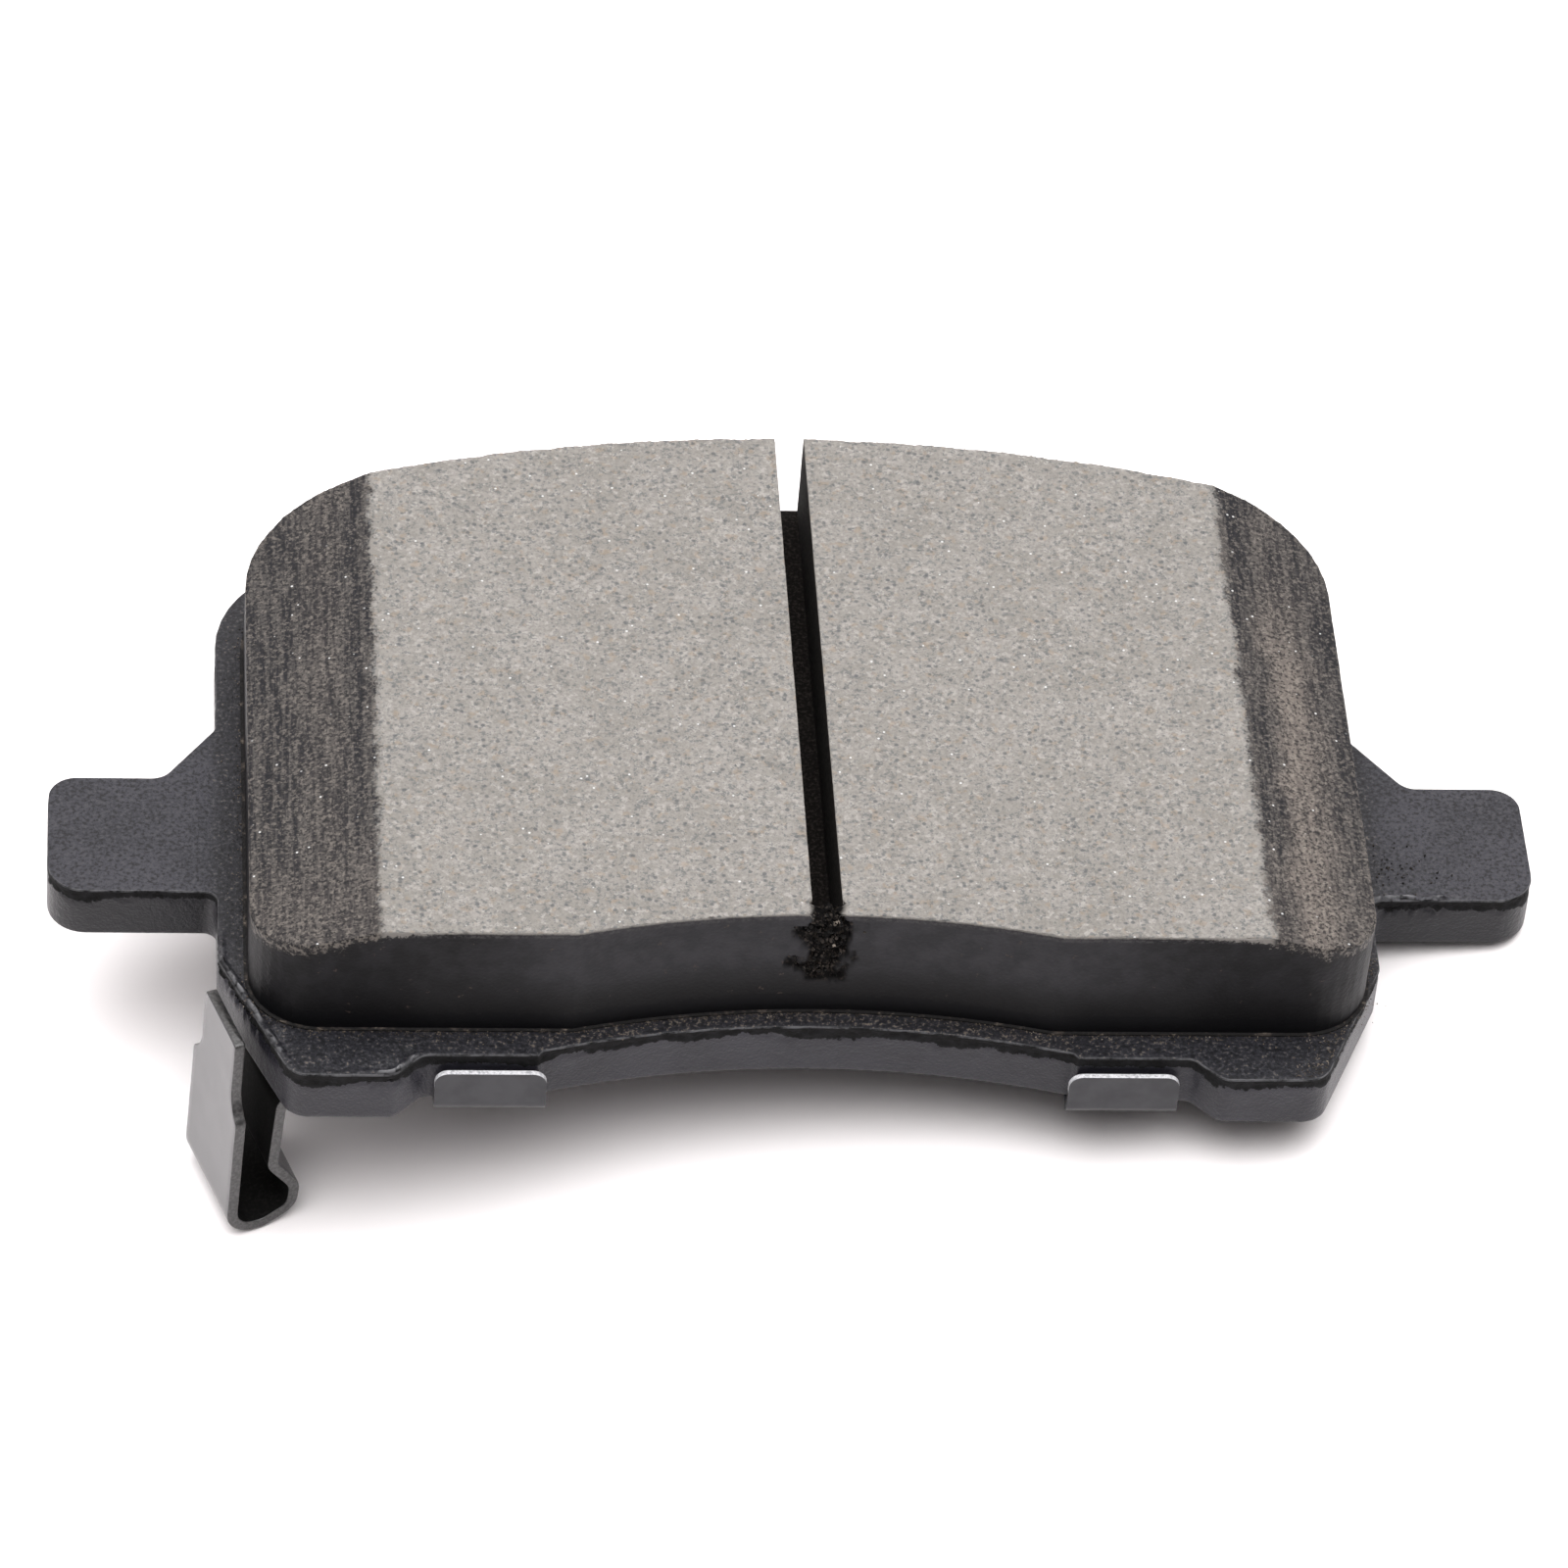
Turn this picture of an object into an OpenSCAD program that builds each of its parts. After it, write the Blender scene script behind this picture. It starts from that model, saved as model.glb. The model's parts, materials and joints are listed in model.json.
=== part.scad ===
// Disc brake pad: steel backing plate, moulded friction block, layered shim and spring wear indicator.
// +X runs along the length, +Y points away from the wheel's axle and +Z points to the rotor.
// The origin is the centre of the shim's outer face, where the caliper's piston presses.

/* [Backing plate] */
// Length over the two ears
plate_len = 137.4; // [134:0.2:142]
// Thickness of the steel plate
plate_t = 5.5; // [5:0.1:6.5]
// Width of the body between the ears
body_w = 106.4; // [105:0.2:108]
// Lowest Y of the ears
ear_y = -12.8; // [-13.5:0.1:-12]
// Height of the ears along Y
ear_h = 14.9; // [14:0.1:16]
// Radius of the ears' lower corners
ear_low_r = 3.6; // [2.5:0.1:4.5]
// Radius of the ears' upper corners
ear_top_r = 2.7; // [2:0.1:4]
// Highest Y of the plate, at the middle of its outer edge
plate_top_y = 38; // [37.8:0.1:39]
// Lowest Y of the plate, at its two lobes
lobe_y = -35.9; // [-36.5:0.1:-35.5]

/* [Friction block] */
// Width of the block
block_w = 102; // [100:0.2:103]
// Height of the block above the plate, with its underlayer
block_t = 12.3; // [9:0.1:14]
// Highest Y of the block, at the middle of its outer edge
block_top_y = 36.4; // [36:0.1:37]
// Y of the block's straight lower edges
block_low_y = -30.1; // [-30.4:0.1:-29.8]
// Sideways shift of the block on the plate
block_shift = 0.5; // [0:0.1:0.8]
// Thickness of the tough underlayer at the foot of the block
underlayer_t = 2; // [1.5:0.1:2.5]
// Thickness of the cured bond film
bond_t = 0.15; // [0.1:0.05:0.3]
// Width of the central slot
slot_w = 2.75; // [2:0.05:3.5]
// Height of the slot's floor above the plate
slot_floor = 3; // [2.6:0.1:5]
// Wall left at the slot's closed lower end
slot_web = 1.6; // [1:0.1:3]
// Sideways shift of the ground slot and chamfers on the block
grind_shift = 0.7; // [0:0.1:1]
// Width of the flat friction face between the two end chamfers
face_w = 79.9; // [74:0.1:88]
// Angle of the end chamfers
chamfer_angle = 16; // [10:1:20]

/* [Shim] */
// Thickness of the adhesive film next to the plate
shim_glue_t = 0.1; // [0.1:0.05:0.2]
// Thickness of each rubber coat
shim_rubber_t = 0.15; // [0.1:0.05:0.25]
// Thickness of the steel sheet
shim_steel_t = 0.5; // [0.4:0.05:0.7]
// Distance from the plate's edge to the shim's edge
shim_inset = 1.5; // [1.2:0.1:2]
// Width of each bent tab
tab_w = 10.1; // [9:0.1:10.6]
// Distance from the pad's centre line to the middle of each tab
tab_x = 28.7; // [28.4:0.1:29]
// Gap between a tab and the wall of its notch
tab_gap = 0.6; // [0.5:0.1:0.8]
// Height of a tab's end above the shim's outer face
tab_h = 5; // [4:0.1:6]

/* [Wear indicator] */
// Thickness of the spring-steel strip
strip_t = 1.05; // [0.8:0.05:1.2]
// Full width of the strip
strip_w = 11; // [10:0.1:12]
// Width of the narrower tip
tip_w = 7.7; // [6:0.1:9]
// Length of the narrower tip, to the corner of its step
tip_l = 7.5; // [6:0.1:9]
// Height of the tip's end above the plate's rotor side
tip_z = 0.5; // [0:0.1:2]
// Length of the sprung arm from the tip's end to the loop
arm_l = 18.5; // [16:0.1:19]
// Lean of the arm out from the plate's edge, going down
arm_lean = 2.7; // [1.5:0.1:3.5]
// Depth of the bend below the plate's rotor side
bend_z = 22.4; // [22:0.1:23.5]
// Angle of the strip's width from the X axis
strip_angle = 70; // [68:0.5:72]
// Length of the flat foot under the plate
foot_l = 11; // [10:0.1:12]
// Diameter of the rivet's shank
rivet_d = 4; // [3:0.1:5]
// Diameter of the rivet's head
rivet_head_d = 7; // [6:0.1:8]

/* [Hidden] */
$fn = 64;

// Levels from the piston side to the rotor side
steel_z = shim_rubber_t;
inner_rubber_z = steel_z + shim_steel_t;
glue_z = inner_rubber_z + shim_rubber_t;
plate_z = glue_z + shim_glue_t;
rotor_side_z = plate_z + plate_t;
underlayer_z = rotor_side_z + bond_t;
block_z = underlayer_z + underlayer_t;
face_z = rotor_side_z + block_t;

// Plan of the plate
ear_x = plate_len / 2;
body_x = body_w / 2;
ear_top_y = ear_y + ear_h;
ear_inner_r = 1.2;
shoulder = [4.9, 6.6];
shoulder_r = 2;
plate_cap_R = 147;
plate_cap_r = 11.5;
corner_top_y = -21.7;
lobe_x = 46.7;
lobe_r = 2.6;
notch_depth = 2.6;
notch_y = lobe_y + notch_depth;
notch_in_x = 24.4;
notch_step = [34.8, 37.4];
notch_r = 1.6;
bow_y = -29.55;
bow_R = 92;
bow_end = 0.4;

// Plan of the block
block_side = block_w / 2;
block_cap_R = 145;
block_cap_r = 12;
block_low_r = 6.5;
block_bow_y = -27.45;
block_bow_R = 91;
plug_r = 4.5;
plug_places = [[-31, -8], [31, -8], [-24, 19], [24, 19]];
film_spread = 0.35;

// Plan of the shim
shim_side = body_x - shim_inset;
tab_bend_r = 0.5;
tab_corner_r = 1.3;
foot_clearance = 1;

// The strip's own axes: "across" runs inwards from its outer face, "along" its width, towards -Y
strip_in = [sin(strip_angle), cos(strip_angle), 0];
tip_near = [-51.68, -33.04];
strip_mid = tip_near + (tip_w / 2) * [-cos(strip_angle), sin(strip_angle)];
arm_gap = 0.1;
foot_start = 4.1;
foot_z = plate_z - strip_t / 2;
step_drop = 1;
flare_r = 3.4;
tip_corner_r = 0.4;
rivet_in = 11.2;
rivet_grip = 3.5;
rivet_head_t = 0.9;

ARC_STEPS = 8;

function unit(v) = v / norm(v);

// Points of a corner at b between a and c, rounded with radius r
function corner(a, b, c, r) =
    r <= 0 ? [b] :
    let (
        to_a = unit(a - b),
        to_c = unit(c - b),
        half = acos(to_a * to_c) / 2,
        centre = b + unit(to_a + to_c) * r / sin(half),
        first = b + to_a * r / tan(half),
        last = b + to_c * r / tan(half),
        from = atan2(first.y - centre.y, first.x - centre.x),
        to = atan2(last.y - centre.y, last.x - centre.x),
        turn = (to - from + 540) % 360 - 180
    )
    [for (i = [0 : ARC_STEPS])
        centre + r * [cos(from + turn * i / ARC_STEPS), sin(from + turn * i / ARC_STEPS)]];

function flat2(p) = [p[0], p[1]];

// Rounds every inner point of an open path of [x, y, radius]
function rounded(path) = [
    for (i = [1 : len(path) - 2])
        each corner(flat2(path[i - 1]), flat2(path[i]), flat2(path[i + 1]), path[i][2])
];

// Outer edge from the right side to the left side: two corners of radius r on a bow of radius R
function cap(side, top_y, R, r) =
    let (
        bow_c = top_y - R,
        corner_c = [side - r, bow_c + sqrt((R - r) * (R - r) - (side - r) * (side - r))],
        meet = atan2(corner_c.y - bow_c, corner_c.x),
        right = [for (i = [0 : ARC_STEPS - 1])
            corner_c + r * [cos(meet * i / ARC_STEPS), sin(meet * i / ARC_STEPS)]],
        bow_steps = 4 * ARC_STEPS
    )
    concat(
        right,
        [for (i = [0 : bow_steps])
            let (a = meet + (180 - 2 * meet) * i / bow_steps)
            [R * cos(a), bow_c + R * sin(a)]],
        [for (i = [len(right) - 1 : -1 : 0]) [-right[i].x, right[i].y]]
    );

// Hollow inner edge from -x to +x: a bow of radius R whose highest point is at y
function bow(x, y, R) = [
    for (i = [-ARC_STEPS : ARC_STEPS])
        let (px = x * i / ARC_STEPS)
        [px, y - R + sqrt(R * R - px * px)]
];

function mirrored(points) = [for (i = [len(points) - 1 : -1 : 0]) [-points[i].x, points[i].y]];

// Closed outline from its right half, its hollow inner edge and its bowed outer edge
function outline(right, inner, outer) = concat(inner, right, outer, mirrored(right));

plate_right = rounded([
    [0, notch_y, 0],
    [notch_in_x, notch_y, 0],
    [notch_step[0], notch_y, notch_r],
    [notch_step[1], lobe_y, notch_r],
    [lobe_x, lobe_y, lobe_r],
    [body_x, corner_top_y, lobe_r],
    [body_x, ear_y, ear_inner_r],
    [ear_x, ear_y, ear_low_r],
    [ear_x, ear_top_y, ear_top_r],
    [body_x + shoulder.x, ear_top_y, shoulder_r],
    [body_x, ear_top_y + shoulder.y, shoulder_r],
    [body_x, plate_top_y, 0]
]);
plate_outline = outline(
    plate_right,
    bow(notch_in_x - bow_end, bow_y, bow_R),
    cap(body_x, plate_top_y, plate_cap_R, plate_cap_r)
);

// The block's outline, grown by g on every side
function block_outline(g) = outline(
    rounded([
        [0, block_low_y - g, 0],
        [block_side + g, block_low_y - g, block_low_r + g],
        [block_side + g, block_top_y, 0]
    ]),
    bow(block_bow_x(g), block_bow_y - g, block_bow_R),
    cap(block_side + g, block_top_y + g, block_cap_R + g, block_cap_r + g)
);
// Half width of the hollow where it meets the straight lower edge
function block_bow_x(g) =
    let (sag = block_bow_y - block_low_y)
    sqrt(2 * block_bow_R * sag - sag * sag);

shim_right = rounded([
    [0, notch_y, 0],
    [notch_in_x, notch_y + shim_inset, 0],
    [notch_step[0] + shim_inset, notch_y + shim_inset, notch_r],
    [notch_step[1] + shim_inset, lobe_y + shim_inset, notch_r],
    [lobe_x - shim_inset, lobe_y + shim_inset, lobe_r],
    [shim_side, corner_top_y, lobe_r],
    [shim_side, plate_top_y, 0]
]);
shim_outline = outline(
    shim_right,
    bow(notch_in_x - bow_end, bow_y + shim_inset, bow_R),
    cap(shim_side, plate_top_y - shim_inset, plate_cap_R - shim_inset, plate_cap_r - shim_inset)
);

// Middle of the strip's thickness at distance d down the leaning arm:
// [distance inwards from the tip's outer face, height above the plate's rotor side]
function down_arm(d) =
    let (half = strip_t / 2)
    [
        half * cos(arm_lean) - d * sin(arm_lean),
        tip_z - half * sin(arm_lean) - d * cos(arm_lean)
    ];

// Centre line of the spring from the arm's end round the loop to the end of its foot,
// with the radius of each bend as the third value
bend_mid_z = strip_t / 2 - bend_z;
arm_to_bend = (tip_z - bend_mid_z) / cos(arm_lean);
spring_start = down_arm(arm_l + arm_gap);
bend_start = down_arm(arm_to_bend);
spring_line = [
    [spring_start.x, spring_start.y, 0],
    [bend_start.x, bend_start.y, 2],
    [2.6, bend_mid_z, 2],
    [5.35, bend_mid_z + 1.4, 1.9],
    [5.55, bend_mid_z + 4, 1.9],
    [3.35, bend_mid_z + 7.2, 1.6],
    [foot_start, foot_z - rotor_side_z, 1.5],
    [foot_start + foot_l, foot_z - rotor_side_z, 0]
];

function normals(p) = [
    for (i = [0 : len(p) - 1])
        let (
            before = unit(p[min(i + 1, len(p) - 1)] - p[min(i, len(p) - 2)]),
            after = unit(p[max(i, 1)] - p[max(i - 1, 0)]),
            both = unit(before + after)
        )
        [-both.y, both.x] / (both * before)
];

// A strip of even thickness t about a centre line of points
function ribbon(p, t) =
    let (n = normals(p))
    concat(
        [for (i = [0 : len(p) - 1]) p[i] + n[i] * t / 2],
        [for (i = [len(p) - 1 : -1 : 0]) p[i] - n[i] * t / 2]
    );

spring_points = concat(
    [flat2(spring_line[0])],
    rounded(spring_line),
    [flat2(spring_line[len(spring_line) - 1])]
);

// Puts a shape drawn in (inwards, up) and raised along its width into the strip's place
module on_strip() {
    translate([strip_mid.x, strip_mid.y, rotor_side_z])
        rotate([90, 0, 90 - strip_angle])
        children();
}

module plugs(r, z, h) {
    for (p = plug_places)
        translate([p.x, p.y, z])
        cylinder(r = r, h = h);
}

module rivet_place(z) {
    translate([strip_mid.x, strip_mid.y, z] + strip_in * rivet_in)
        children();
}

// Ground friction block with a slot that stops short of its inner edge
module friction_block() {
    color([0.55, 0.53, 0.5])
    difference() {
        translate([block_shift, 0, block_z])
            linear_extrude(face_z - block_z)
            polygon(block_outline(0));
        translate([block_shift + grind_shift, 0, face_z])
            ground_off();
    }
}

module ground_off() {
    slot_low_y = block_bow_y + slot_web;
    translate([-slot_w / 2, slot_low_y, -block_t + slot_floor])
        cube([slot_w, block_w, block_t]);
    for (side = [0, 1])
        mirror([side, 0, 0])
        translate([face_w / 2, -block_w / 2, 0])
        rotate([0, chamfer_angle, 0])
        cube([block_w, block_w, block_t]);
}

module underlayer() {
    color([0.25, 0.22, 0.2])
    union() {
        translate([block_shift, 0, underlayer_z])
            linear_extrude(underlayer_t)
            polygon(block_outline(0));
        plugs(plug_r, plate_z, underlayer_z - plate_z + underlayer_t / 2);
    }
}

module bond_film() {
    color([0.42, 0.3, 0.2])
    difference() {
        translate([block_shift, 0, rotor_side_z])
            linear_extrude(bond_t)
            polygon(block_outline(film_spread));
        plugs(plug_r, rotor_side_z - 1, bond_t + 2);
    }
}

module backing_plate() {
    color([0.2, 0.2, 0.22])
    difference() {
        translate([0, 0, plate_z])
            linear_extrude(plate_t)
            polygon(plate_outline);
        plugs(plug_r, plate_z - 1, plate_t + 2);
        rivet_place(plate_z - 1)
            cylinder(d = rivet_d, h = rivet_grip + 1);
    }
}

// Plan of a shim layer, open round the foot of the wear indicator
module shim_plan() {
    opening = strip_w / 2 + foot_clearance;
    difference() {
        polygon(shim_outline);
        translate([strip_mid.x, strip_mid.y])
            rotate(90 - strip_angle)
            translate([0, -opening])
            square([foot_start + foot_l + foot_clearance, 2 * opening]);
    }
}

module shim_layer(z, t) {
    translate([0, 0, z])
        linear_extrude(t)
        shim_plan();
}

module shim_adhesive() {
    color([0.8, 0.75, 0.55])
    shim_layer(glue_z, shim_glue_t);
}

module shim_inner_rubber() {
    color([0.12, 0.12, 0.13])
    shim_layer(inner_rubber_z, shim_rubber_t);
}

module shim_outer_rubber() {
    color([0.16, 0.16, 0.17])
    shim_layer(0, shim_rubber_t);
}

// Steel sheet with a tab bent up into each notch
module shim_steel() {
    color([0.24, 0.24, 0.26])
    union() {
        shim_layer(steel_z, shim_steel_t);
        for (side = [-1, 1])
            translate([side * tab_x, 0, 0])
            tab();
    }
}

module tab() {
    inner_y = notch_y - tab_gap;
    bend_y = inner_y + tab_bend_r;
    bend_z0 = steel_z + shim_steel_t + tab_bend_r;
    outer_r = tab_bend_r + shim_steel_t;
    translate([-tab_w / 2, bend_y, steel_z])
        cube([tab_w, notch_y + shim_inset + 1 - bend_y, shim_steel_t]);
    translate([-tab_w / 2, bend_y, bend_z0])
        rotate([0, 90, 0])
        rotate_extrude(angle = 90, start = 270)
        translate([tab_bend_r, 0])
        square([shim_steel_t, tab_w]);
    translate([0, inner_y, 0])
        rotate([90, 0, 0])
        linear_extrude(shim_steel_t)
        tab_face(bend_z0);
}

// Upright face of a tab with two rounded upper corners
module tab_face(low) {
    half = tab_w / 2;
    polygon(concat(
        [[-half, low], [half, low]],
        corner([half, low], [half, tab_h], [-half, tab_h], tab_corner_r),
        corner([half, tab_h], [-half, tab_h], [-half, low], tab_corner_r)
    ));
}

// Fixed part of the indicator: foot, inner leg, loop
module wear_indicator_spring() {
    color([0.28, 0.28, 0.3])
    difference() {
        on_strip()
            translate([0, 0, -strip_w / 2])
            linear_extrude(strip_w)
            polygon(ribbon(spring_points, strip_t));
        rivet_place(-strip_t - 1)
            cylinder(d = rivet_d, h = plate_z + strip_t + 2);
    }
}

// Sprung outer arm with its narrower tip
module wear_indicator_arm() {
    color([0.34, 0.34, 0.36])
    translate([strip_mid.x, strip_mid.y, rotor_side_z + tip_z])
        rotate([90 - arm_lean, 0, -strip_angle])
        translate([0, 0, -strip_t])
        linear_extrude(strip_t)
        arm_face();
}

// The arm seen square on: full width up to a hollow-cornered step, then the tip
module arm_face() {
    half = strip_w / 2;
    tip_half = tip_w / 2;
    step = [tip_half, -tip_l];
    step_end = [half, -tip_l - step_drop];
    top = [tip_half, 0];
    right = concat(
        [[half, -arm_l], step_end],
        corner(step_end, step, top, flare_r),
        corner(step, top, -top, tip_corner_r)
    );
    polygon(concat(right, mirrored(right)));
}

module wear_indicator_rivet() {
    color([0.3, 0.3, 0.32])
    rivet_place(0) {
        translate([0, 0, plate_z - strip_t - rivet_head_t])
            cylinder(d = rivet_head_d, h = rivet_head_t);
        translate([0, 0, plate_z - strip_t - rivet_head_t / 2])
            cylinder(d = rivet_d, h = strip_t + rivet_head_t / 2 + rivet_grip);
    }
}

friction_block();
underlayer();
bond_film();
backing_plate();
shim_adhesive();
shim_inner_rubber();
shim_steel();
shim_outer_rubber();
wear_indicator_spring();
wear_indicator_arm();
wear_indicator_rivet();
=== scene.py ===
"""Disc brake pad: detailed meshes, materials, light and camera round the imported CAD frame."""

import json
import math
import random

import bmesh
import bpy
import numpy as np
from mathutils import Euler, Matrix, Vector, geometry, kdtree, noise


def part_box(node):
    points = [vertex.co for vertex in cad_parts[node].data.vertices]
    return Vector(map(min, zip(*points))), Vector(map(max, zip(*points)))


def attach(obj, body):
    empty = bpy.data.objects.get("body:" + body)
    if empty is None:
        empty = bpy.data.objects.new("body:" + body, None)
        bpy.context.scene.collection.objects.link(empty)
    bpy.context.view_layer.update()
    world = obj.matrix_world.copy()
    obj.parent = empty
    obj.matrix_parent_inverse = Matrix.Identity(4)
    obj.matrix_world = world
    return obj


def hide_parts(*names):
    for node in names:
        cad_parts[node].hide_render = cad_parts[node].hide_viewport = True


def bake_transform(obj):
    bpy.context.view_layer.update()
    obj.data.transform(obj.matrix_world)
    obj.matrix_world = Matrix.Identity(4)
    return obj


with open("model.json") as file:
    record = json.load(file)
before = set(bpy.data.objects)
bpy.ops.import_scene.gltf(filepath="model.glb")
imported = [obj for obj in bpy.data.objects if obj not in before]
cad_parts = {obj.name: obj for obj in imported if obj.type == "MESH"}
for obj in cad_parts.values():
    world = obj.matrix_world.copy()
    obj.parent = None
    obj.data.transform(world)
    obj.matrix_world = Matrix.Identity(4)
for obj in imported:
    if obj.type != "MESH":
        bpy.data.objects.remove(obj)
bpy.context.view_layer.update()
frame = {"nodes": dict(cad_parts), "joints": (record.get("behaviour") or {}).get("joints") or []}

MM = 0.001
SEED = 7

# ---- sizes read from the frame

plate_low, plate_high = (Vector(c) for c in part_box("backing_plate"))
block_low, block_high = (Vector(c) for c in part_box("friction_block"))
flex = frame["joints"][0]

PLATE_UNDER_Z = plate_low.z
ROTOR_Z = plate_high.z
BLOCK_Z = block_low.z
FACE_Z = block_high.z
BLOCK_X = (block_low.x + block_high.x) / 2

# ---- sizes repeated from the part

FACE_HALF = 39.95 * MM
CHAMFER_SLOPE = math.tan(math.radians(16))
GROUND_X = BLOCK_X + 0.7 * MM
SLOT_HALF = 1.375 * MM
SLOT_END_Y = -25.85 * MM
SLOT_FLOOR_Z = ROTOR_Z + 3 * MM
WALL_FOOT_Z = BLOCK_Z - 0.25 * MM
BOW_Y = -27.45 * MM
EAR_X = 53 * MM

STRIP_T = 1.05 * MM
STRIP_HALF = 5.5 * MM
TIP_HALF = 3.85 * MM
TIP_CORNER_R = 0.4 * MM
FLARE_R = 3.4 * MM
FLARE_START = 5.58 * MM
ARM_L = 18.5 * MM
ARM_LEAN = math.radians(2.7)
TIP_TOP_Z = 0.5 * MM
LOOP_DEPTH = 22.4 * MM
FOOT_START = 4.1 * MM
FOOT_L = 11 * MM


# ---- mesh helpers

def link(name, data):
    """A new object in the scene that holds the data."""
    obj = bpy.data.objects.new(name, data)
    bpy.context.scene.collection.objects.link(obj)
    return obj


def new_object(name, vertices, faces):
    mesh = bpy.data.meshes.new(name)
    mesh.from_pydata([tuple(v) for v in vertices], [], faces)
    mesh.validate()
    return link(name, mesh)


def bevel(obj, width, segments):
    edge = obj.modifiers.new("bevel", "BEVEL")
    edge.width = width
    edge.segments = segments
    edge.limit_method = "ANGLE"
    edge.angle_limit = math.radians(40)
    bpy.context.view_layer.update()
    graph = bpy.context.evaluated_depsgraph_get()
    mesh = bpy.data.meshes.new_from_object(obj.evaluated_get(graph))
    obj.modifiers.clear()
    obj.data = mesh


def shade(obj, smooth=True):
    obj.data.polygons.foreach_set("use_smooth", [smooth] * len(obj.data.polygons))
    obj.data.update()


def read_vectors(items, key):
    values = np.empty(len(items) * 3)
    items.foreach_get(key, values)
    return values.reshape(-1, 3)


def bell(x, middle, width):
    """1 at the middle, falling to 0 some widths away."""
    return np.exp(-((x - middle) / width) ** 2)


def field(co, size, octaves, seed):
    """Fractal noise about 0 for every point, with features of a size in mm."""
    scale = size * MM
    offset = Vector((seed * 13.7, seed * 7.3, seed * 3.1))
    return np.array([noise.fractal(Vector(p) / scale + offset, 0.9, 2.0, octaves) for p in co])


# ---- node tree helpers

class Nodes:
    """Short calls that add shader nodes to a tree, most of which return an output."""

    def __init__(self, tree):
        self.tree = tree

    def put(self, socket, value):
        if isinstance(value, bpy.types.NodeSocket):
            self.tree.links.new(value, socket)
        elif socket.type == "RGBA":
            socket.default_value = (*value, 1.0)
        else:
            socket.default_value = value

    def add(self, kind, inputs=(), **settings):
        """The new node itself, with its settings and some of its inputs filled in."""
        node = self.tree.nodes.new("ShaderNode" + kind)
        for name, value in settings.items():
            setattr(node, name, value)
        for key, value in dict(inputs).items():
            self.put(node.inputs[key], value)
        return node

    def math(self, operation, a, b=0.0):
        return self.add("Math", {0: a, 1: b}, operation=operation).outputs[0]

    def plus(self, a, b):
        return self.math("ADD", a, b)

    def minus(self, a, b):
        return self.math("SUBTRACT", a, b)

    def times(self, a, b):
        return self.math("MULTIPLY", a, b)

    def absolute(self, a):
        return self.math("ABSOLUTE", a)

    def larger(self, a, b):
        return self.math("MAXIMUM", a, b)

    def step(self, value, low, high, start, end):
        """The start below low and the end above high, smooth in between."""
        inputs = {0: value, 1: low, 2: high, 3: start, 4: end}
        return self.add("MapRange", inputs, interpolation_type="SMOOTHSTEP").outputs[0]

    def mix(self, factor, a, b):
        return self.add("Mix", {0: factor, 6: a, 7: b}, data_type="RGBA").outputs[2]

    def blend(self, factor, a, b):
        return self.add("Mix", {0: factor, 2: a, 3: b}, data_type="FLOAT").outputs[0]


class Shader(Nodes):
    """A material with a Principled shader and its textures, whose sizes and depths are in mm."""

    def __init__(self, name, **constants):
        self.material = bpy.data.materials.new(name)
        self.material.use_nodes = True
        super().__init__(self.material.node_tree)
        self.surface = self.tree.nodes["Principled BSDF"]
        for socket, value in constants.items():
            self.put(self.surface.inputs[socket.replace("_", " ")], value)
        self.place = self.add("TexCoord").outputs["Object"]
        self.position = self.split(self.place)
        self.normal = self.split(self.add("NewGeometry").outputs["Normal"])

    def split(self, vector):
        return self.add("SeparateXYZ", {0: vector}).outputs

    def ramp(self, value, low, high):
        """0 below low and 1 above high, smooth in between; the other way round if low is higher."""
        if low <= high:
            return self.step(value, low, high, 0.0, 1.0)
        return self.step(value, high, low, 1.0, 0.0)

    def about_zero(self, noise, amount):
        """Noise between 0 and 1 moved to lie evenly about 0, as wide as the amount."""
        return self.times(self.minus(noise, 0.5), amount)

    def attribute(self, name):
        return self.add("Attribute", attribute_name=name).outputs["Fac"]

    def stretched(self, x, y, z):
        return self.add("Mapping", {"Vector": self.place, "Scale": (x, y, z)}).outputs[0]

    def noise(self, size, detail=3.0, roughness=0.55, where=None):
        inputs = {"Vector": where or self.place, "Scale": 1 / (size * MM), "Detail": detail}
        inputs["Roughness"] = roughness
        return self.add("TexNoise", inputs).outputs["Fac"]

    def cells(self, size):
        """(distance to the nearest seed, random number of the cell)"""
        node = self.add("TexVoronoi", {"Vector": self.place, "Scale": 1 / (size * MM)})
        return node.outputs["Distance"], self.split(node.outputs["Color"])[0]

    def bump(self, height, depth, strength=1.0, under=None):
        node = self.add("Bump", {"Strength": strength, "Distance": depth * MM, "Height": height})
        if under is not None:
            self.put(node.inputs["Normal"], under)
        return node.outputs[0]

    def finish(self, color, roughness=None, normal=None):
        for name, value in (("Base Color", color), ("Roughness", roughness), ("Normal", normal)):
            if value is not None:
                self.put(self.surface.inputs[name], value)
        return self.material


def dress(obj, material):
    obj.data.materials.clear()
    obj.data.materials.append(material)


def dress_node(node, material):
    obj = frame["nodes"][node]
    if not obj.material_slots:
        obj.data.materials.append(material)
    for material_slot in obj.material_slots:
        material_slot.material = material


# ---- materials

def torn_over(s, color, tiny):
    """(colour, share) with near-black crumbs over the colour where the slot's end has broken away."""
    torn = s.attribute("torn")
    crumbs = s.mix(s.ramp(tiny, 0.5, 0.62), (0.0012, 0.001, 0.001), (0.022, 0.018, 0.015))
    return s.mix(torn, color, crumbs), torn


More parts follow.
